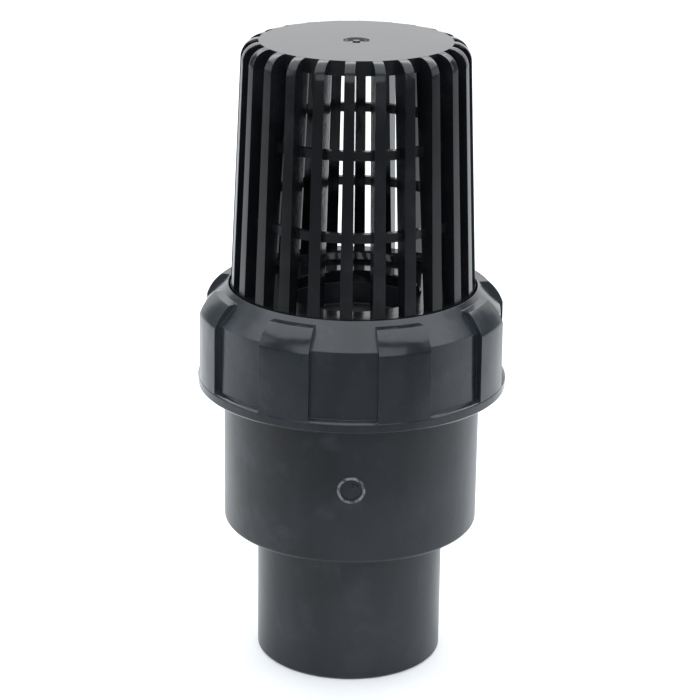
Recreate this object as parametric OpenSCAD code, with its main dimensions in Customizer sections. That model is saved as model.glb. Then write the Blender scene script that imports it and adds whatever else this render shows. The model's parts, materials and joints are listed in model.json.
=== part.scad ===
// Union-type foot valve for a plastic suction pipe, standing on its pipe end.
// The origin is the centre of the pipe end's face, and +Z runs up the axis to the strainer.
// All sizes are in millimetres.

/* [Pipe end] */
// Outer diameter of the spigot, which fits a 63 mm socket
spigot_d = 63; // [62:0.5:64]
// Diameter of the socket inside the spigot, for a 50 mm pipe
socket_d = 50.2; // [49.8:0.1:50.6]
// Depth of the socket
socket_depth = 31; // [28:0.5:33]
// Height of the step from the spigot to the barrel
barrel_z = 47.8; // [46:0.1:49]

/* [Body] */
// Outer diameter of the barrel
barrel_d = 85.8; // [85:0.1:86.4]
// Diameter of the chamber that the poppet moves in
chamber_d = 72; // [71.6:0.1:72.4]
// Height of the body's top face
body_top_z = 115.5; // [115.3:0.1:115.7]

/* [Union nut] */
// Height of the nut's lower edge
nut_z = 96.5; // [96:0.1:97]
// Height of the rim round the nut's hole
nut_top_z = 131.2; // [130.8:0.1:131.6]
// Diameter of the band round the nut's lower edge
nut_band_d = 103.2; // [102.8:0.1:103.8]
// Diameter of the nut across its recesses
nut_recess_d = 99; // [98.4:0.1:99.6]
// Diameter of the hole that the strainer comes out of
nut_hole_d = 82.4; // [82.2:0.1:83]
// Number of raised grip pads round the nut
pads = 8; // [6:1:9]
// Width of one grip pad, in degrees
pad_angle = 20; // [16:0.5:24]
// Pitch of the thread between nut and body
pitch = 5; // [4.8:0.1:5.2]

/* [Strainer] */
// Overall height of the valve
total_h = 212.5; // [205:0.5:216]
// Number of bars round the strainer
bars = 24; // [20:4:24]
// Width of one bar at the top
bar_top_w = 3.2; // [2.8:0.1:3.6]
// Width of one bar at the bottom
bar_base_w = 4.1; // [3.7:0.1:4.4]
// Diameter of the flat end
cap_d = 63; // [62:0.5:64]
// Diameter across the bars at the top, below the shoulder
bars_top_d = 74.6; // [74:0.1:75.2]
// Diameter across the bars at the bottom
bars_base_d = 81.3; // [80.8:0.1:81.6]
// Radius of the shoulder between the flat end and the bars
shoulder_r = 6; // [5.6:0.1:6.2]
// Height of one inner hoop
hoop_h = 3; // [2.6:0.1:3.6]

/* [Valve] */
// Diameter of the hole in the strainer's floor
floor_hole_d = 44.8; // [44:0.1:45.6]
// Diameter of the hole in the seat
seat_d = 40; // [39:0.1:41]
// Diameter of the poppet
poppet_d = 49; // [48:0.1:52]
// Diameter of the stem
stem_d = 8; // [7.6:0.1:8]
// Diameter of the spring wire
wire_d = 1.6; // [1.4:0.1:1.8]
// Number of turns in the spring, with its closed ends
spring_turns = 7; // [6:0.5:8]

/* [Hidden] */
grey = [0.23, 0.25, 0.27];
black = [0.09, 0.09, 0.10];
rubber_black = [0.04, 0.04, 0.04];
steel = [0.72, 0.73, 0.74];
white_plastic = [0.86, 0.86, 0.82];
smooth = 96;
side_fn = 48;
running_gap = 0.1;

// Body
spigot_r = spigot_d / 2;
barrel_r = barrel_d / 2;
chamber_r = chamber_d / 2;
edge_r = 1.5;
neck_z = barrel_z - 2.3;
bore_r = 22.5;
bore_top_z = 40;
throat_r = 33;
throat_z = 58;
ledge_z = 62;
mark_angle = 3.4;
mark_z = 74;
mark_r = 4.6;
mark_w = 1;
mark_h = 0.3;
mark_depth = 0.35;

// Thread between nut and body
thread_root_r = 43.4;
thread_crest_r = 45.3;
nut_thread_r = 45.9;
nut_crest_r = 43.9;
ridge_root_w = 2.7;
ridge_crest_w = 1.2;
thread_z = 99.5;
body_turns = 2.75;
nut_turns = 3;
nut_start = 184;
nut_start_z = thread_z + pitch * (nut_start - 180) / 360;
steps_per_turn = 40;
fade_steps = 6;
ridge_sink = 0.4;

// Seat carrier and the stack that the nut clamps
carrier_flange_h = 4;
carrier_top_z = body_top_z + carrier_flange_h;
basket_flange_h = 4;
lip_z = carrier_top_z + basket_flange_h;
carrier_flange_r = 43.5;
carrier_boss_r = 35;
carrier_boss_h = 4.5;
seat_r = seat_d / 2;
seat_z = body_top_z - 2.5;
bead_h = 0.6;
bead_r = seat_r + 1.6;
seal_z = seat_z - bead_h;
groove_r = 40;
groove_w = 3.2;
groove_h = 2.2;
ring_d = 2.6;

// Nut
nut_band_r = nut_band_d / 2;
nut_recess_r = nut_recess_d / 2;
nut_hole_r = nut_hole_d / 2;
nut_bore_r = 44.6;
nut_bore_z = 116.6;
band_h = 3.8;
pad_base_r = nut_band_r - 0.1;
pad_top_z = nut_top_z - 1.6;
pad_arc_r = 15.8;
pad_arc = [18, 52];
cone_z = 123.1;

// Strainer
cap_r = cap_d / 2;
cap_h = 2.8;
drum_h = 4.8;
drum_w = 3;
slot_z = 131.2;
bars_top_r = bars_top_d / 2;
bars_base_r = bars_base_d / 2;
shoulder_z = total_h - shoulder_r;
bar_in_top_r = 30;
bar_in_base_r = 36.4;
base_edge_r = 1.5;
basket_flange_r = 44;
basket_fit_r = carrier_boss_r + 0.4;
floor_z = lip_z + 0.7;
floor_h = 4;
floor_hole_r = floor_hole_d / 2;
hoops_z = [156.6, 182.8];
hoop_w = 2.2;
dimple_r = 4.4;
dimple_depth = 0.6;
nub_r = 1.2;

// Poppet
poppet_r = poppet_d / 2;
gasket_h = 3;
gasket_in_r = 13;
poppet_h = 4.9;
poppet_z = seal_z - gasket_h - poppet_h;
poppet_boss_r = 7.2;
poppet_boss_h = 5;
stem_r = stem_d / 2;
stem_end_z = 47;
retainer_r = seat_r - 0.7;
retainer_h = 5.1;
retainer_cup_r = 8.4;
retainer_cup_z = seal_z + 1.5;
screw_r = 3;
screw_depth = 12;
screw_head_r = 5.2;
screw_head_h = 3.2;
screw_key = 4;
washer_h = 1;
washer_r = 6.6;
clip_z = 50.5;
clip_h = 1;
clip_r = 7;
clip_groove_r = stem_r - 0.8;

// Guide
guide_ring_h = 5;
guide_ring_r = chamber_r - 0.2;
guide_ring_w = 3.2;
guide_arms = 4;
arm_w = 3.2;
hub_r = 11;
hub_z = 56;
hub_top_z = 70;
bush_r = 5.5;
bush_flange_r = 7.4;
snap_h = 1.4;
snap_z = ledge_z + guide_ring_h;
snap_groove_r = chamber_r + 1.2;
snap_r = chamber_r + 1;
snap_in_r = chamber_r - 2.4;
snap_gap = 40;
snap_lug_r = 2.6;

// Spring
spring_r = 9.2;
spring_z = hub_top_z + washer_h;
spring_h = poppet_z - spring_z;
spring_sides = 8;
spring_steps = 20;

// Points of an arc round c from angle a to angle b
function arc(c, r, a, b, n = 8) =
    [for (i = [0:n]) c + r * [cos(a + (b - a) * i / n), sin(a + (b - a) * i / n)]];

// Turns a profile of [radius, height] points round the axis
module turned(points) {
    rotate_extrude($fn = smooth)
        polygon(points);
}

// Plain ring between two radii
module ring(z, h, r_out, r_in, fn = smooth) {
    translate([0, 0, z])
        difference() {
            cylinder(r = r_out, h = h, $fn = fn);
            translate([0, 0, -1])
                cylinder(r = r_in, h = h + 2, $fn = fn);
        }
}

// Share of the full ridge height at step i of n, which fades in and out at the ends
function fade(i, n) = max(0.05, min(1, i / fade_steps, (n - i) / fade_steps));

// Four corners of a thread ridge at step i, at angle a and height z
function ridge_corners(a, z, root_r, crest_r) = [
    for (c = [
        [root_r, -ridge_root_w / 2],
        [crest_r, -ridge_crest_w / 2],
        [crest_r, ridge_crest_w / 2],
        [root_r, ridge_root_w / 2]
    ]) [c[0] * cos(a), c[0] * sin(a), z + c[1]]
];

// Helical thread ridge from root_r to crest_r, which starts at angle a0
module thread_ridge(root_r, crest_r, turns, a0, z0) {
    n = turns * steps_per_turn;
    corners = [
        for (i = [0:n])
            let (a = 360 * i / steps_per_turn)
                each ridge_corners(a0 + a, z0 + pitch * a / 360, root_r,
                                   root_r + (crest_r - root_r) * fade(i, n))
    ];
    inward = crest_r < root_r;
    sides = [
        for (i = [0:n - 1], k = [0:3])
            let (p = 4 * i + k, q = 4 * i + (k + 1) % 4)
                each [[p, q, q + 4], [p, q + 4, p + 4]]
    ];
    ends = [[3, 2, 1, 0], [4 * n, 4 * n + 1, 4 * n + 2, 4 * n + 3]];
    polyhedron(corners, [for (f = concat(sides, ends)) inward ? reversed(f) : f]);
}

// A face with its corners in the opposite order
function reversed(f) = [for (i = [len(f) - 1:-1:0]) f[i]];

module body_outline() {
    turned(concat(
        [[socket_d / 2, 0], [spigot_r - 0.8, 0], [spigot_r, 0.8], [spigot_r, neck_z]],
        arc([barrel_r - edge_r, barrel_z + edge_r], edge_r, -90, 0),
        [
            [barrel_r, nut_z + 1], [thread_root_r, nut_z + 1.5],
            [thread_root_r, body_top_z - 0.8], [thread_root_r - 0.8, body_top_z],
            [chamber_r + 0.8, body_top_z], [chamber_r, body_top_z - 0.8],
            [chamber_r, ledge_z], [throat_r, ledge_z], [throat_r, throat_z],
            [bore_r, bore_top_z], [bore_r, socket_depth],
            [socket_d / 2, socket_depth]
        ]
    ));
}

// Puts a part on the barrel's front at the gate, with its own Z pointing outwards
module on_barrel() {
    rotate([0, 0, mark_angle])
        translate([0, -barrel_r, mark_z])
            rotate([90, 0, 0])
                children();
}

// Low burr round the gate and the stub that the sprue left in it
module gate_mark() {
    on_barrel() {
        ring(-1, 1 + mark_h, mark_r, mark_r - mark_w, side_fn);
        translate([mark_r / 4, mark_r / 5, -1])
            cylinder(r1 = 1.3, r2 = 0.9, h = 0.85, $fn = side_fn);
    }
}

module valve_body() {
    color(grey) {
        difference() {
            body_outline();
            ring(body_top_z - groove_h, groove_h + 1, groove_r + groove_w / 2, groove_r - groove_w / 2);
            translate([0, 0, snap_z])
                cylinder(r = snap_groove_r, h = snap_h + 0.2, $fn = smooth);
            on_barrel()
                translate([0, 0, -mark_depth])
                    cylinder(r = mark_r - mark_w, h = 2, $fn = side_fn);
        }
        gate_mark();
        thread_ridge(thread_root_r - ridge_sink, thread_crest_r, body_turns, 0, thread_z);
    }
}

// Nut without its pads: a band, the floor of the recesses and a cone up to the rim
module nut_shell() {
    turned(concat(
        [[nut_thread_r + 0.6, nut_z], [nut_band_r - 0.6, nut_z], [nut_band_r, nut_z + 0.6]],
        [[nut_band_r, nut_z + band_h - 0.6], [nut_band_r - 0.6, nut_z + band_h]],
        [[nut_recess_r + 0.2, nut_z + band_h + 0.4], [nut_recess_r - 0.3, cone_z]],
        [[nut_hole_r + 0.3, nut_top_z], [nut_hole_r, nut_top_z - 0.3]],
        [[nut_hole_r, lip_z], [nut_bore_r, lip_z], [nut_bore_r, nut_bore_z]],
        [[nut_thread_r, nut_bore_z - 0.5], [nut_thread_r, nut_z + 0.6]]
    ));
}

// One grip pad, centred on +X, with a flattened shoulder between its wall and its top
module nut_pad() {
    arc_c = [
        pad_base_r - 0.2 - pad_arc_r * cos(pad_arc[0]),
        pad_top_z - pad_arc_r * sin(pad_arc[1])
    ];
    rotate([0, 0, -pad_angle / 2])
        rotate_extrude(angle = pad_angle, $fn = smooth)
            polygon(concat(
                [[nut_recess_r - 1, nut_z + 1.6], [pad_base_r, nut_z + 1.6]],
                arc(arc_c, pad_arc_r, pad_arc[0], pad_arc[1], 10),
                [[nut_hole_r + 1.2, pad_top_z], [nut_hole_r + 1.8, pad_top_z - 3]],
                [[nut_bore_r + 1.2, cone_z - 1]]
            ));
}

module union_nut() {
    color(grey) {
        union() {
            nut_shell();
            thread_ridge(nut_thread_r + ridge_sink, nut_crest_r, nut_turns, nut_start, nut_start_z);
        }
        union()
            for (i = [0:pads - 1])
                rotate([0, 0, -90 + 360 * (i + 0.5) / pads])
                    nut_pad();
    }
}

// Space that the bars fill: a turned shell with a rounded shoulder
module bar_shell() {
    shoulder_c = [bars_top_r - shoulder_r, shoulder_z];
    turned(concat(
        [[bar_in_base_r, slot_z - base_edge_r], [bars_base_r, slot_z - base_edge_r]],
        arc(shoulder_c, shoulder_r, 0, 90, 12),
        [[cap_r - 1, total_h], [cap_r - 1, total_h - drum_h], [bar_in_top_r, total_h - drum_h]]
    ));
}

// Plates through the axis that narrow upwards, each of which gives two bars
module bar_plates() {
    low_z = slot_z - 2;
    for (i = [0:bars / 2 - 1])
        rotate([90, 0, 360 * i / bars])
            linear_extrude(100, center = true)
                polygon([
                    [-bar_base_w / 2, low_z], [bar_base_w / 2, low_z],
                    [bar_top_w / 2, total_h + 1], [-bar_top_w / 2, total_h + 1]
                ]);
}

// Radius of the bars' inner edge at height z
function bar_in_r(z) =
    bar_in_base_r + (bar_in_top_r - bar_in_base_r) * (z - slot_z) / (total_h - drum_h - slot_z);

module strainer_bars() {
    intersection() {
        bar_shell();
        bar_plates();
    }
}

// Flat end with a skirt below its edge
module strainer_cap() {
    turned([
        [0, total_h - cap_h], [cap_r - drum_w, total_h - cap_h], [cap_r - drum_w, total_h - drum_h],
        [cap_r, total_h - drum_h], [cap_r, total_h], [dimple_r, total_h],
        [dimple_r - 0.4, total_h - dimple_depth], [nub_r, total_h - dimple_depth],
        [nub_r, total_h - 0.1], [0, total_h - 0.1]
    ]);
}

// Floor, base ring and the flange under the nut's lip
module strainer_base() {
    edge_c = [bar_in_base_r - 0.4 + base_edge_r, slot_z - base_edge_r];
    turned(concat(
        [[basket_fit_r, carrier_top_z], [basket_flange_r, carrier_top_z], [basket_flange_r, lip_z]],
        [[bars_base_r, lip_z], [bars_base_r, slot_z]],
        arc(edge_c, base_edge_r, 90, 180, 6),
        [[bar_in_base_r - 0.8, floor_z + floor_h], [floor_hole_r + 0.4, floor_z + floor_h]],
        [[floor_hole_r, floor_z + floor_h - 0.4], [floor_hole_r, floor_z], [basket_fit_r, floor_z]]
    ));
}

module strainer_basket() {
    color(black) {
        strainer_base();
        strainer_cap();
        strainer_bars();
        for (z = hoops_z)
            ring(z - hoop_h / 2, hoop_h, bar_in_r(z) + hoop_w, bar_in_r(z) + 0.1);
    }
}

// Ring with the seat on its lower end, clamped between body and strainer
module seat_carrier() {
    color(grey)
        turned([
            [seat_r, seat_z], [bead_r - 0.7, seat_z], [bead_r - 0.3, seal_z], [bead_r + 0.3, seal_z],
            [bead_r + 0.7, seat_z], [chamber_r - 1.3, seat_z], [chamber_r - 0.3, seat_z + 1],
            [chamber_r - 0.3, body_top_z], [carrier_flange_r, body_top_z],
            [carrier_flange_r, carrier_top_z], [carrier_boss_r, carrier_top_z],
            [carrier_boss_r, carrier_top_z + carrier_boss_h],
            [floor_hole_r, carrier_top_z + carrier_boss_h], [floor_hole_r, seat_z + 3.5],
            [seat_r, seat_z + 1.2]
        ]);
}

// Round-section ring, squeezed between the groove and the seat carrier
module body_o_ring() {
    color(rubber_black)
        translate([0, 0, body_top_z - groove_h / 2])
            rotate_extrude($fn = smooth)
                intersection() {
                    translate([groove_r, 0])
                        circle(d = ring_d, $fn = side_fn);
                    translate([groove_r - ring_d, -groove_h / 2])
                        square([2 * ring_d, groove_h]);
                }
}

module poppet() {
    color(grey)
        difference() {
            turned([
                [0, stem_end_z], [stem_r - 0.8, stem_end_z], [stem_r, stem_end_z + 0.8],
                [stem_r, clip_z - 0.1], [clip_groove_r, clip_z - 0.1],
                [clip_groove_r, clip_z + clip_h + 0.1], [stem_r, clip_z + clip_h + 0.1],
                [stem_r, poppet_z - poppet_boss_h], [poppet_boss_r, poppet_z - poppet_boss_h],
                [poppet_boss_r, poppet_z], [poppet_r - 1, poppet_z], [poppet_r, poppet_z + 1],
                [poppet_r, poppet_z + poppet_h], [gasket_in_r - 0.1, poppet_z + poppet_h],
                [gasket_in_r - 0.1, seal_z], [0, seal_z]
            ]);
            translate([0, 0, seal_z - screw_depth])
                cylinder(r = screw_r, h = screw_depth + 1, $fn = side_fn);
        }
}

module poppet_gasket() {
    color(rubber_black)
        ring(seal_z - gasket_h, gasket_h, poppet_r, gasket_in_r);
}

// Flat disc that fills the seat's hole, with a cup for the washer and the screw's head
module gasket_retainer() {
    top_z = seal_z + retainer_h;
    color(black)
        turned([
            [screw_r + 0.2, seal_z], [retainer_r, seal_z], [retainer_r, top_z - 0.6],
            [retainer_r - 0.6, top_z], [retainer_cup_r, top_z],
            [retainer_cup_r - 0.4, retainer_cup_z], [screw_r + 0.2, retainer_cup_z]
        ]);
}

module retainer_washer() {
    color(steel)
        ring(retainer_cup_z, washer_h, washer_r, screw_r + 0.2, side_fn);
}

module retainer_screw() {
    head_z = retainer_cup_z + washer_h;
    color(steel)
        difference() {
            turned([
                [0, seal_z - screw_depth + 0.5], [screw_r - 0.8, seal_z - screw_depth + 0.5],
                [screw_r, seal_z - screw_depth + 1.3], [screw_r, head_z],
                [screw_head_r, head_z], [screw_head_r, head_z + screw_head_h - 1],
                [screw_head_r - 1, head_z + screw_head_h], [0, head_z + screw_head_h]
            ]);
            translate([0, 0, head_z + 1.2])
                cylinder(d = screw_key / cos(30), h = screw_head_h, $fn = 6);
        }
}

// Height of the wire's centre at turn t, with a closed turn at each end
function wire_z(t) =
    let (coils = spring_turns - 2, free_h = spring_h - 3 * wire_d)
        t < 1 ? wire_d / 2 + wire_d * t
        : t > spring_turns - 1 ? spring_h - wire_d / 2 - wire_d * (spring_turns - t)
        : 1.5 * wire_d + free_h * (t - 1) / coils;

// Round wire swept along the spring's turns
module poppet_spring() {
    n = spring_turns * spring_steps;
    points = [
        for (i = [0:n], k = [0:spring_sides - 1])
            let (a = 360 * i / spring_steps, b = 360 * k / spring_sides,
                 r = spring_r + wire_d / 2 * cos(b))
                [r * cos(a), r * sin(a), wire_z(i / spring_steps) + wire_d / 2 * sin(b)]
    ];
    sides = [
        for (i = [0:n - 1], k = [0:spring_sides - 1])
            let (p = spring_sides * i + k, q = spring_sides * i + (k + 1) % spring_sides)
                each [[p, q, q + spring_sides], [p, q + spring_sides, p + spring_sides]]
    ];
    ends = [
        [for (k = [spring_sides - 1:-1:0]) k],
        [for (k = [0:spring_sides - 1]) spring_sides * n + k]
    ];
    color(steel)
        translate([0, 0, spring_z])
            polyhedron(points, concat(sides, ends));
}

module spring_washer() {
    color(steel)
        ring(hub_top_z, washer_h, hub_r, bush_flange_r + 0.2, side_fn);
}

// Hub on arms inside a ring that stands on the body's ledge
module guide_spider() {
    color(black)
        difference() {
            union() {
                ring(ledge_z, guide_ring_h, guide_ring_r, guide_ring_r - guide_ring_w);
                translate([0, 0, hub_z])
                    cylinder(r = hub_r, h = hub_top_z - hub_z, $fn = smooth);
                for (i = [0:guide_arms - 1])
                    rotate([0, 0, 45 + 360 * i / guide_arms])
                        translate([hub_r - 1, -arm_w / 2, ledge_z + 0.2])
                            cube([guide_ring_r - guide_ring_w - hub_r + 2, arm_w, guide_ring_h - 0.4]);
            }
            translate([0, 0, hub_z - 1])
                cylinder(r = bush_r, h = hub_top_z - hub_z + 2, $fn = smooth);
        }
}

module guide_bush() {
    color(white_plastic)
        difference() {
            union() {
                translate([0, 0, hub_z])
                    cylinder(r = bush_r, h = hub_top_z - hub_z, $fn = smooth);
                translate([0, 0, hub_top_z])
                    cylinder(r = bush_flange_r, h = washer_h - 0.2, $fn = smooth);
            }
            translate([0, 0, hub_z - 1])
                cylinder(r = stem_r + running_gap, h = hub_top_z - hub_z + 4, $fn = smooth);
        }
}

// Open snap ring with a lug at each end
module guide_ring() {
    color(steel)
        translate([0, 0, snap_z + 0.1])
            difference() {
                union() {
                    rotate([0, 0, 90 + snap_gap / 2])
                        rotate_extrude(angle = 360 - snap_gap, $fn = smooth)
                            translate([snap_in_r, 0])
                                square([snap_r - snap_in_r, snap_h - 0.1]);
                    for (side = [-1, 1])
                        rotate([0, 0, 90 + side * (snap_gap / 2 + 2)])
                            translate([snap_in_r, 0, 0])
                                cylinder(r = snap_lug_r, h = snap_h - 0.1, $fn = side_fn);
                }
                for (side = [-1, 1])
                    rotate([0, 0, 90 + side * (snap_gap / 2 + 2)])
                        translate([snap_in_r - 0.4, 0, -1])
                            cylinder(r = 1, h = snap_h + 2, $fn = side_fn);
            }
}

// Clip with an open side, in the groove near the end of the stem
module stem_clip() {
    color(steel)
        translate([0, 0, clip_z])
            difference() {
                cylinder(r = clip_r, h = clip_h, $fn = smooth);
                translate([0, 0, -1])
                    cylinder(r = clip_groove_r + 0.05, h = clip_h + 2, $fn = side_fn);
                translate([0, -clip_groove_r + 0.4, -1])
                    cube([clip_r + 1, 2 * clip_groove_r - 0.8, clip_h + 2]);
            }
}

valve_body();
union_nut();
strainer_basket();
seat_carrier();
body_o_ring();
poppet();
poppet_gasket();
gasket_retainer();
retainer_washer();
retainer_screw();
poppet_spring();
spring_washer();
guide_spider();
guide_bush();
guide_ring();
stem_clip();
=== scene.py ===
"""Looks of a plastic union-type foot valve: camera, light, floor, materials and the finer pieces.

Every length is in metres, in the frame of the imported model: the origin is the centre of the pipe
end's face, and +Z runs up the valve's axis to the strainer.
"""

import json
import math

import bpy
from mathutils import Matrix, Vector


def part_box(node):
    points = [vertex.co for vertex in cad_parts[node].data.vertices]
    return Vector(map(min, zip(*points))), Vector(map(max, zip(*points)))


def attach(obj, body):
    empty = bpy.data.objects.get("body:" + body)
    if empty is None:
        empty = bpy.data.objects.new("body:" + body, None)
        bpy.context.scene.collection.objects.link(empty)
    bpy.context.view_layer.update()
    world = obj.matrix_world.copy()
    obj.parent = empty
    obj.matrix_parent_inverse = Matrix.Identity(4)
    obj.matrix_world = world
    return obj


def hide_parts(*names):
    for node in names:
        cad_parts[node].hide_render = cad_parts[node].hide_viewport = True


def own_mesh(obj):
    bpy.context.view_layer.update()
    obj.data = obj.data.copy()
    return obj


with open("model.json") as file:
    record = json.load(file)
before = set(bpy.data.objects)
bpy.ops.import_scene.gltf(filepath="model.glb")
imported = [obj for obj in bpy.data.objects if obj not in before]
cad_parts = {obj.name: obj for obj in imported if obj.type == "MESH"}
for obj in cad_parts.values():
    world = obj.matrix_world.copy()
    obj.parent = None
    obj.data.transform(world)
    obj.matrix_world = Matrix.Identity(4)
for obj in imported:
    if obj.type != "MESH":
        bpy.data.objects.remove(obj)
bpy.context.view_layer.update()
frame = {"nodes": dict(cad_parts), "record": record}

MM = 0.001
NODES = frame["nodes"]

# Camera: it looks down by the tilt, stands to the right by the turn and leans by the roll
CAMERA_LENS = 124.5
CAMERA_TILT = math.radians(19.13)
CAMERA_TURN = math.radians(2.95)
CAMERA_ROLL = math.radians(0.8)
CAMERA_DISTANCE = 0.8122
CAMERA_SHIFT = -0.003
TARGET_HEIGHT = 0.10712

# Floor, which turns from pale to greyer between two distances in front of the valve's axis. The grey
# is painted shade for the unlit front of the set, where the camera stands. The valve's upright walls
# mirror that greyer part, which is out of the camera's sight.
FLOOR_REACH = 4.0
PALE_FROM = -0.06
GREY_FROM = -0.34
PALE_PAPER = ((0.58, 0.585, 0.595), (0.62, 0.62, 0.63))
# Painted shade: the grey that the floor turns to well in front of the valve
PAINTED_SHADE_GREY = (0.27, 0.275, 0.28)
# Painted light: the floor's faint glow, which lifts the shade that the valve casts on the floor; it
# fades out with the painted shade in front
PAINTED_FLOOR_LIGHT = 0.24
PAINTED_LIGHT_COLOUR = (0.97, 0.985, 1.0, 1)

# Light
NEUTRAL = (1, 1, 1)
COOL = (0.93, 0.97, 1.0)
ROOM_COLOUR = (0.90, 0.95, 1.0, 1)
ROOM_STRENGTH = 0.22
NUT_CENTRE = (0, 0, 0.12)


# ---------------------------------------------------------------- camera, floor and light

def add_camera():
    """A long lens, aimed at a point on the valve's axis."""
    tilt, turn = CAMERA_TILT, CAMERA_TURN
    back = Vector((
        math.sin(turn) * math.cos(tilt),
        -math.cos(turn) * math.cos(tilt),
        math.sin(tilt),
    ))
    level = Vector((math.cos(turn), math.sin(turn), 0))
    upright = back.cross(level)
    right = level * math.cos(CAMERA_ROLL) + upright * math.sin(CAMERA_ROLL)
    up = back.cross(right)
    place = Vector((0, 0, TARGET_HEIGHT)) + back * CAMERA_DISTANCE
    data = bpy.data.cameras.new("camera")
    data.lens = CAMERA_LENS
    data.shift_x = CAMERA_SHIFT
    camera = bpy.data.objects.new("camera", data)
    bpy.context.scene.collection.objects.link(camera)
    camera.matrix_world = Matrix.Translation(place) @ Matrix((right, up, back)).transposed().to_4x4()
    bpy.context.scene.camera = camera


def add_floor():
    """A wide pale floor with painted light, a faint glow that lifts the shade round the valve, and
    painted shade that makes it greyer well in front.
    """
    reach = FLOOR_REACH
    corners = [(-reach, -reach, 0), (reach, -reach, 0), (reach, reach, 0), (-reach, reach, 0)]
    mesh = bpy.data.meshes.new("floor")
    mesh.from_pydata(corners, [], [(0, 1, 2, 3)])
    floor = bpy.data.objects.new("floor", mesh)
    bpy.context.scene.collection.objects.link(floor)
    maker = Maker("pale_floor")
    lengthways = maker.node("ShaderNodeSeparateXYZ")
    maker.link(maker.where, lengthways.inputs[0])
    # Painted shade: 1 on the pale floor, falling to 0 where the floor is painted grey in front
    pale = maker.ramp(lengthways.outputs["Y"], GREY_FROM, PALE_FROM)
    paper = maker.blend(maker.noise(6, detail=3), *PALE_PAPER)
    # Base colour: the pale paper, blended to the painted shade grey in front
    maker.feed("Base Color", maker.blend(pale, PAINTED_SHADE_GREY, paper))
    maker.set("Roughness", 0.85)
    # Painted light: the floor glows where it is pale, which fills the shade round the valve's foot
    maker.set("Emission Color", PAINTED_LIGHT_COLOUR)
    maker.feed("Emission Strength", maker.maths("MULTIPLY", pale, PAINTED_FLOOR_LIGHT))
    mesh.materials.append(maker.material)


def add_softbox(name, place, target, size, glow, colour=COOL):
    """A rectangular area light at a place, aimed at a target. glow is the radiance of its face."""
    data = bpy.data.lights.new(name, "AREA")
    data.shape = "RECTANGLE"
    data.size, data.size_y = size
    data.energy = glow * math.pi * size[0] * size[1]
    data.color = colour
    light = bpy.data.objects.new(name, data)
    light.location = place
    light.visible_camera = False
    aim = Vector(target) - Vector(place)
    light.rotation_mode = "QUATERNION"
    light.rotation_quaternion = aim.to_track_quat("-Z", "Y")
    bpy.context.scene.collection.objects.link(light)


def add_light():
    """Soft studio light: boxes overhead, in front and at the sides, a sweep behind, a dim room."""
    world = bpy.data.worlds.new("studio")
    world.use_nodes = True
    background = world.node_tree.nodes["Background"]
    background.inputs["Color"].default_value = ROOM_COLOUR
    background.inputs["Strength"].default_value = ROOM_STRENGTH
    bpy.context.scene.world = world
    add_softbox("overhead", (0, 0.07, 0.60), target=(0, 0.07, 0), size=(1.15, 0.80), glow=3.0)
    add_softbox("front_top", (0, -0.72, 0.44), target=NUT_CENTRE, size=(1.30, 0.52), glow=2.3)
    for name, side in (("left", -1), ("right", 1)):
        add_softbox(name, (side * 0.85, -0.05, 0.46), target=NUT_CENTRE, size=(0.80, 0.44), glow=1.7)
    add_softbox("sweep_top", (0, 0.95, 0.95), target=(0, 0.95, 0), size=(2.0, 1.0), glow=2.6)
    add_softbox(
        "sweep_back", (0, 1.75, 0.62), target=(0, 0, 0.62), size=(3.2, 1.2), glow=1.12,
        colour=NEUTRAL)


# ---------------------------------------------------------------- materials

# Sockets of a Mix node that mixes colours
MIX_FACTOR, MIX_FIRST, MIX_SECOND, MIX_RESULT = 0, 6, 7, 2

# Burr round the gate on the barrel's front, and the paler colour of the plastic torn there
GATE_ANGLE = math.radians(3.4)
GATE_REACH = 42.9 * MM
GATE = (GATE_REACH * math.sin(GATE_ANGLE), -GATE_REACH * math.cos(GATE_ANGLE), 74 * MM)
BURR_RADIUS = 4.15 * MM
BURR_WIDTH = 1.3 * MM
SCUFFED = (0.17, 0.18, 0.185)

# Rounding that shows where the worn edges are, and the cosine between the rounded normal and the
# true one where wear starts and where it is full
WORN_WIDTH = 0.45 * MM
WEAR_STARTS = 0.995
WEAR_FULL = 0.80


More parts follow.
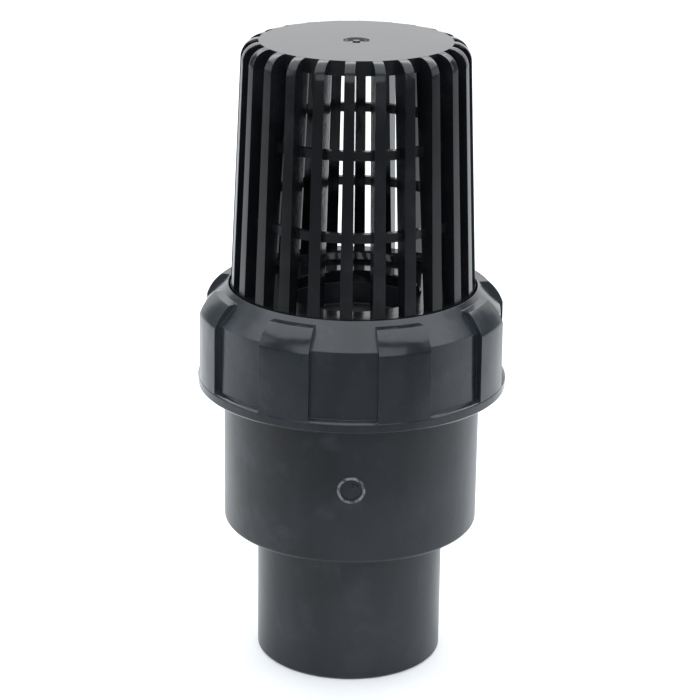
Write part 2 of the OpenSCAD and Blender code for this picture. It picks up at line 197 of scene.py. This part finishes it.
class Maker:
    """Builds one node material, with short calls for the nodes that the materials share."""

    def __init__(self, name):
        self.material = bpy.data.materials.new(name)
        self.material.use_nodes = True
        self.tree = self.material.node_tree
        self.shader = self.tree.nodes["Principled BSDF"]
        self.where = self.tree.nodes.new("ShaderNodeTexCoord").outputs["Object"]

    def node(self, kind, **settings):
        """Adds a node and sets its properties."""
        made = self.tree.nodes.new(kind)
        for key, value in settings.items():
            setattr(made, key, value)
        return made

    def link(self, source, target):
        self.tree.links.new(source, target)

    def set(self, socket, value):
        """Sets one of the shader's sockets to a value."""
        self.shader.inputs[socket].default_value = value

    def feed(self, socket, source):
        """Links a source into one of the shader's sockets."""
        self.link(source, self.shader.inputs[socket])

    def stretched(self, stretch):
        """Object coordinates scaled along each axis, so that a texture runs in streaks."""
        mapping = self.node("ShaderNodeMapping")
        mapping.inputs["Scale"].default_value = stretch
        self.link(self.where, mapping.inputs["Vector"])
        return mapping.outputs["Vector"]

    def noise(self, scale, detail=4, roughness=0.5, stretch=None):
        """Noise from 0 to 1 with that many cells a metre."""
        made = self.node("ShaderNodeTexNoise")
        made.inputs["Scale"].default_value = scale
        made.inputs["Detail"].default_value = detail
        made.inputs["Roughness"].default_value = roughness
        self.link(self.stretched(stretch) if stretch else self.where, made.inputs["Vector"])
        return made.outputs["Fac"]

    def ramp(self, source, low, high, start=0.0, end=1.0):
        """Maps source from low..high to start..end with soft ends, and holds it there."""
        made = self.node("ShaderNodeMapRange", interpolation_type="SMOOTHSTEP")
        made.inputs["From Min"].default_value = low
        made.inputs["From Max"].default_value = high
        made.inputs["To Min"].default_value = start
        made.inputs["To Max"].default_value = end
        self.link(source, made.inputs["Value"])
        return made.outputs["Result"]

    def maths(self, operation, first, second):
        """One Math node. first and second are sockets or numbers."""
        made = self.node("ShaderNodeMath", operation=operation)
        for value, socket in zip((first, second), made.inputs):
            if isinstance(value, (int, float)):
                socket.default_value = value
            else:
                self.link(value, socket)
        return made.outputs[0]

    def blend(self, factor, first, second):
        """Mixes two colours by factor. Each is a socket or a colour of three numbers."""
        made = self.node("ShaderNodeMix", data_type="RGBA")
        self.link(factor, made.inputs[MIX_FACTOR])
        for value, index in ((first, MIX_FIRST), (second, MIX_SECOND)):
            if isinstance(value, tuple):
                made.inputs[index].default_value = (*value, 1)
            else:
                self.link(value, made.inputs[index])
        return made.outputs[MIX_RESULT]

    def edges(self, radius):
        """1 where a rounded normal differs from the true one, so along edges, and 0 elsewhere."""
        rounded = self.node("ShaderNodeBevel", samples=4)
        rounded.inputs["Radius"].default_value = radius
        true = self.node("ShaderNodeNewGeometry").outputs["Normal"]
        dot = self.node("ShaderNodeVectorMath", operation="DOT_PRODUCT")
        self.link(rounded.outputs["Normal"], dot.inputs[0])
        self.link(true, dot.inputs[1])
        return self.ramp(dot.outputs["Value"], WEAR_STARTS, WEAR_FULL)

    def outward(self):
        """1 on faces that look straight away from the Z axis, 0 on level faces, -1 on inner ones."""
        flat = self.node("ShaderNodeVectorMath", operation="MULTIPLY")
        self.link(self.where, flat.inputs[0])
        flat.inputs[1].default_value = (1, 1, 0)
        away = self.node("ShaderNodeVectorMath", operation="NORMALIZE")
        self.link(flat.outputs["Vector"], away.inputs[0])
        dot = self.node("ShaderNodeVectorMath", operation="DOT_PRODUCT")
        self.link(away.outputs["Vector"], dot.inputs[0])
        self.link(self.node("ShaderNodeNewGeometry").outputs["Normal"], dot.inputs[1])
        return dot.outputs["Value"]

    def round_mark(self, centre, radius, width):
        """1 on the circle of that radius round a point, falling to 0 at half the width away."""
        distance = self.node("ShaderNodeVectorMath", operation="DISTANCE")
        self.link(self.where, distance.inputs[0])
        distance.inputs[1].default_value = centre
        off = self.maths("ABSOLUTE", self.maths("SUBTRACT", distance.outputs["Value"], radius), 0)
        return self.ramp(off, width / 2, width / 5)

    def bumps(self, *layers):
        """Stacks bump maps. Each layer is (height source, height in metres)."""
        normal = None
        for source, height in layers:
            made = self.node("ShaderNodeBump")
            made.inputs["Distance"].default_value = height
            self.link(source, made.inputs["Height"])
            if normal:
                self.link(normal, made.inputs["Normal"])
            normal = made.outputs["Normal"]
        self.feed("Normal", normal)


def moulded_plastic(
        name, deep, pale, rough, streak, wear, ripple, ior=1.41, scuff=None, polish=None):
    """Injection-moulded plastic: flow streaks, smudges, pigment specks, orange peel and worn edges.

    deep and pale are the colours that the flow varies between, rough is the lowest and highest
    roughness, streak is the stretch of the flow along each axis, wear is how far edges pale,
    ripple is the height of the slow waves in the surface, scuff is the centre, radius and width
    of a circle where the surface is torn pale, and polish is the share of the roughness that is
    left on faces that don't look outwards, where the mould was polished.
    """
    maker = Maker(name)

    # Colour
    cloud = maker.ramp(maker.noise(16, detail=4, roughness=0.55), 0.35, 0.65)
    flow = maker.ramp(maker.noise(70, detail=3, stretch=streak), 0.35, 0.68)
    tone = maker.maths("ADD", maker.maths("MULTIPLY", cloud, 0.6), maker.maths("MULTIPLY", flow, 0.4))
    speck = maker.ramp(maker.noise(850, detail=1), 0.70, 0.78)
    smudge = maker.ramp(maker.noise(48, detail=5, roughness=0.65), 0.50, 0.70)
    uneven = maker.ramp(maker.noise(160), 0.4, 0.65, 0.3, 1)
    edge = maker.maths("MULTIPLY", maker.edges(WORN_WIDTH), uneven)
    worn = tuple(min(1, part * 2.2 + 0.012) for part in pale)
    dusty = tuple(min(1, part * 1.5 + 0.005) for part in pale)
    colour = maker.blend(tone, deep, pale)
    colour = maker.blend(maker.maths("MULTIPLY", smudge, 0.5), colour, dusty)
    colour = maker.blend(maker.maths("MULTIPLY", speck, 0.15), colour, worn)
    colour = maker.blend(maker.maths("MULTIPLY", edge, wear), colour, worn)
    if scuff:
        torn = maker.ramp(maker.noise(650, detail=2, roughness=0.6), 0.36, 0.62, 0.1, 1)
        torn = maker.maths("MULTIPLY", maker.round_mark(*scuff), torn)
        colour = maker.blend(torn, colour, SCUFFED)
    maker.feed("Base Color", colour)

    # Shine
    shine = maker.ramp(tone, 0, 1, rough[0], rough[1])
    shine = maker.maths("ADD", shine, maker.maths("MULTIPLY", smudge, 0.04))
    if polish:
        shine = maker.maths("MULTIPLY", shine, maker.ramp(maker.outward(), 0.2, 0.8, polish, 1))
    maker.feed("Roughness", shine)
    maker.set("IOR", ior)

    # Surface, from the slow waves down to the grain
    waves = maker.noise(30, detail=1)
    dapple = maker.noise(150, detail=2)
    peel = maker.noise(520, detail=1)
    grain = maker.noise(1400, detail=1)
    maker.bumps((waves, ripple), (dapple, 0.12 * ripple), (peel, 0.010 * MM), (grain, 0.002 * MM))
    return maker.material


def smooth_rubber(name):
    """Moulded EPDM: near black, dull, with a faint bloom."""
    maker = Maker(name)
    bloom = maker.ramp(maker.noise(90, detail=5), 0.4, 0.75)
    maker.feed("Base Color", maker.blend(bloom, (0.010, 0.010, 0.011), (0.030, 0.030, 0.029)))
    maker.feed("Roughness", maker.ramp(maker.noise(300), 0.3, 0.7, 0.48, 0.66))
    maker.set("IOR", 1.5)
    maker.bumps((maker.noise(1500, detail=3), 0.02 * MM))
    return maker.material


def stainless_steel(name):
    """Stamped and drawn stainless steel with fine turning lines."""
    maker = Maker(name)
    lines = maker.noise(700, detail=3, stretch=(1, 1, 6))
    stain = maker.ramp(maker.noise(120, detail=4), 0.45, 0.75)
    maker.feed("Base Color", maker.blend(stain, (0.56, 0.56, 0.55), (0.44, 0.43, 0.41)))
    maker.set("Metallic", 1.0)
    maker.feed("Roughness", maker.ramp(lines, 0.3, 0.7, 0.29, 0.42))
    maker.bumps((lines, 0.012 * MM))
    return maker.material


# Builder of the material for each slot of the record
MATERIALS = {
    "body_grey": lambda: moulded_plastic(
        "body_pvc", deep=(0.006, 0.0072, 0.0092), pale=(0.0165, 0.0195, 0.024),
        rough=(0.285, 0.34), streak=(1, 1, 0.12), wear=0.30, ripple=0.60 * MM, ior=1.37,
        scuff=(GATE, BURR_RADIUS, BURR_WIDTH)),
    "nut_grey": lambda: moulded_plastic(
        "nut_pvc", deep=(0.0062, 0.0077, 0.0098), pale=(0.018, 0.0215, 0.026),
        rough=(0.17, 0.225), streak=(1, 1, 0.4), wear=0.30, ripple=0.80 * MM),
    "strainer_black": lambda: moulded_plastic(
        "strainer_pp", deep=(0.0035, 0.004, 0.005), pale=(0.006, 0.0068, 0.008),
        rough=(0.18, 0.23), streak=(1, 1, 0.08), wear=0.25, ripple=0.10 * MM, ior=1.38,
        polish=0.45),
    "guide_black": lambda: moulded_plastic(
        "guide_pp", deep=(0.004, 0.004, 0.0045), pale=(0.009, 0.009, 0.010),
        rough=(0.42, 0.55), streak=(1, 1, 0.3), wear=0.25, ripple=0.30 * MM, ior=1.38),
    "bush_white": lambda: moulded_plastic(
        "bush_acetal", deep=(0.66, 0.65, 0.60), pale=(0.78, 0.77, 0.73),
        rough=(0.30, 0.42), streak=(1, 1, 2), wear=0.10, ripple=0.15 * MM),
    "seal_rubber": lambda: smooth_rubber("seal_epdm"),
    "stainless": lambda: stainless_steel("stainless"),
}


# ---------------------------------------------------------------- CAD nodes

# Weld distance that only joins points which coincide
WELD_GAP = 0.001 * MM

# Width of the rounding on each node's edges, and on the small parts that aren't listed
EDGE_WIDTH = {
    "valve_body": 0.35 * MM,
    "union_nut": 0.45 * MM,
    "strainer_basket": 0.3 * MM,
    "seat_carrier": 0.25 * MM,
    "poppet": 0.25 * MM,
    "gasket_retainer": 0.25 * MM,
    "guide_spider": 0.35 * MM,
}
SMALL_EDGE = 0.12 * MM

# Least angle between two faces at which their edge is rounded
EDGE_ANGLE = math.radians(32)


def soften(node, width):
    """Rounds a CAD node's edges with modifiers, which leave its own mesh as it is."""
    obj = NODES[node]
    weld = obj.modifiers.new("weld", "WELD")
    weld.merge_threshold = WELD_GAP
    bevel = obj.modifiers.new("edges", "BEVEL")
    bevel.width = width
    bevel.segments = 3
    bevel.limit_method = "ANGLE"
    bevel.angle_limit = EDGE_ANGLE
    for face in obj.data.polygons:
        face.use_smooth = True
    normals = obj.modifiers.new("normals", "WEIGHTED_NORMAL")
    normals.weight = 100


def finish_nodes():
    """Gives every CAD node the material of its slot and rounded edges."""
    made = {slot: build() for slot, build in MATERIALS.items()}
    for part in frame["record"]["subparts"]:
        node = part["node"]
        obj = NODES[node]
        obj.data.materials.clear()
        obj.data.materials.append(made[part["material_slot"]])
        soften(node, EDGE_WIDTH.get(node, SMALL_EDGE))
    return made


# ---------------------------------------------------------------- spring

# Sizes of the spring, which are those of its CAD stand-in, and the steps its wire is drawn in
SPRING_TURNS = 7
SPRING_RADIUS = 9.2 * MM
WIRE_RADIUS = 0.8 * MM
STEPS_A_TURN = 48
WIRE_SIDES = 16


def wire_height(turn, length):
    """Height of the wire's centre after that many turns, with one closed turn at each end."""
    wire = 2 * WIRE_RADIUS
    open_length = length - 3 * wire
    if turn < 1:
        return wire / 2 + wire * turn
    if turn > SPRING_TURNS - 1:
        return length - wire / 2 - wire * (SPRING_TURNS - turn)
    return 1.5 * wire + open_length * (turn - 1) / (SPRING_TURNS - 2)


def spring_points(foot, length):
    """Points round the wire, ring by ring, along a spring that stands at height foot."""
    points = []
    for step in range(SPRING_TURNS * STEPS_A_TURN + 1):
        turn = step / STEPS_A_TURN
        angle = 2 * math.pi * turn
        height = foot + wire_height(turn, length)
        for side in range(WIRE_SIDES):
            around = 2 * math.pi * side / WIRE_SIDES
            radius = SPRING_RADIUS + WIRE_RADIUS * math.cos(around)
            points.append((
                radius * math.cos(angle),
                radius * math.sin(angle),
                height + WIRE_RADIUS * math.sin(around),
            ))
    return points


def spring_faces():
    """Four-sided faces between the rings of points, and a flat face on each end of the wire."""
    count = SPRING_TURNS * STEPS_A_TURN
    faces = []
    for step in range(count):
        for side in range(WIRE_SIDES):
            first = step * WIRE_SIDES + side
            second = step * WIRE_SIDES + (side + 1) % WIRE_SIDES
            faces.append((first, first + WIRE_SIDES, second + WIRE_SIDES, second))
    faces.append(tuple(range(WIRE_SIDES)))
    faces.append(tuple(reversed(range(count * WIRE_SIDES, (count + 1) * WIRE_SIDES))))
    return faces


def add_spring(material):
    """Round wire wound along the spring, in place of its CAD stand-in."""
    low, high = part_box("poppet_spring")
    length = high[2] - low[2]
    mesh = bpy.data.meshes.new("spring_wire")
    mesh.from_pydata(spring_points(low[2], length), [], spring_faces())
    mesh.validate()
    for face in mesh.polygons:
        face.use_smooth = len(face.vertices) == 4
    mesh.materials.append(material)
    spring = bpy.data.objects.new("spring_wire", mesh)
    bpy.context.scene.collection.objects.link(spring)
    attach(spring, "body")
    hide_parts("poppet_spring")
    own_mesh(spring)


# ---------------------------------------------------------------- build

bpy.context.scene.view_settings.view_transform = "Standard"
add_camera()
add_floor()
add_light()
materials = finish_nodes()
add_spring(materials["stainless"])
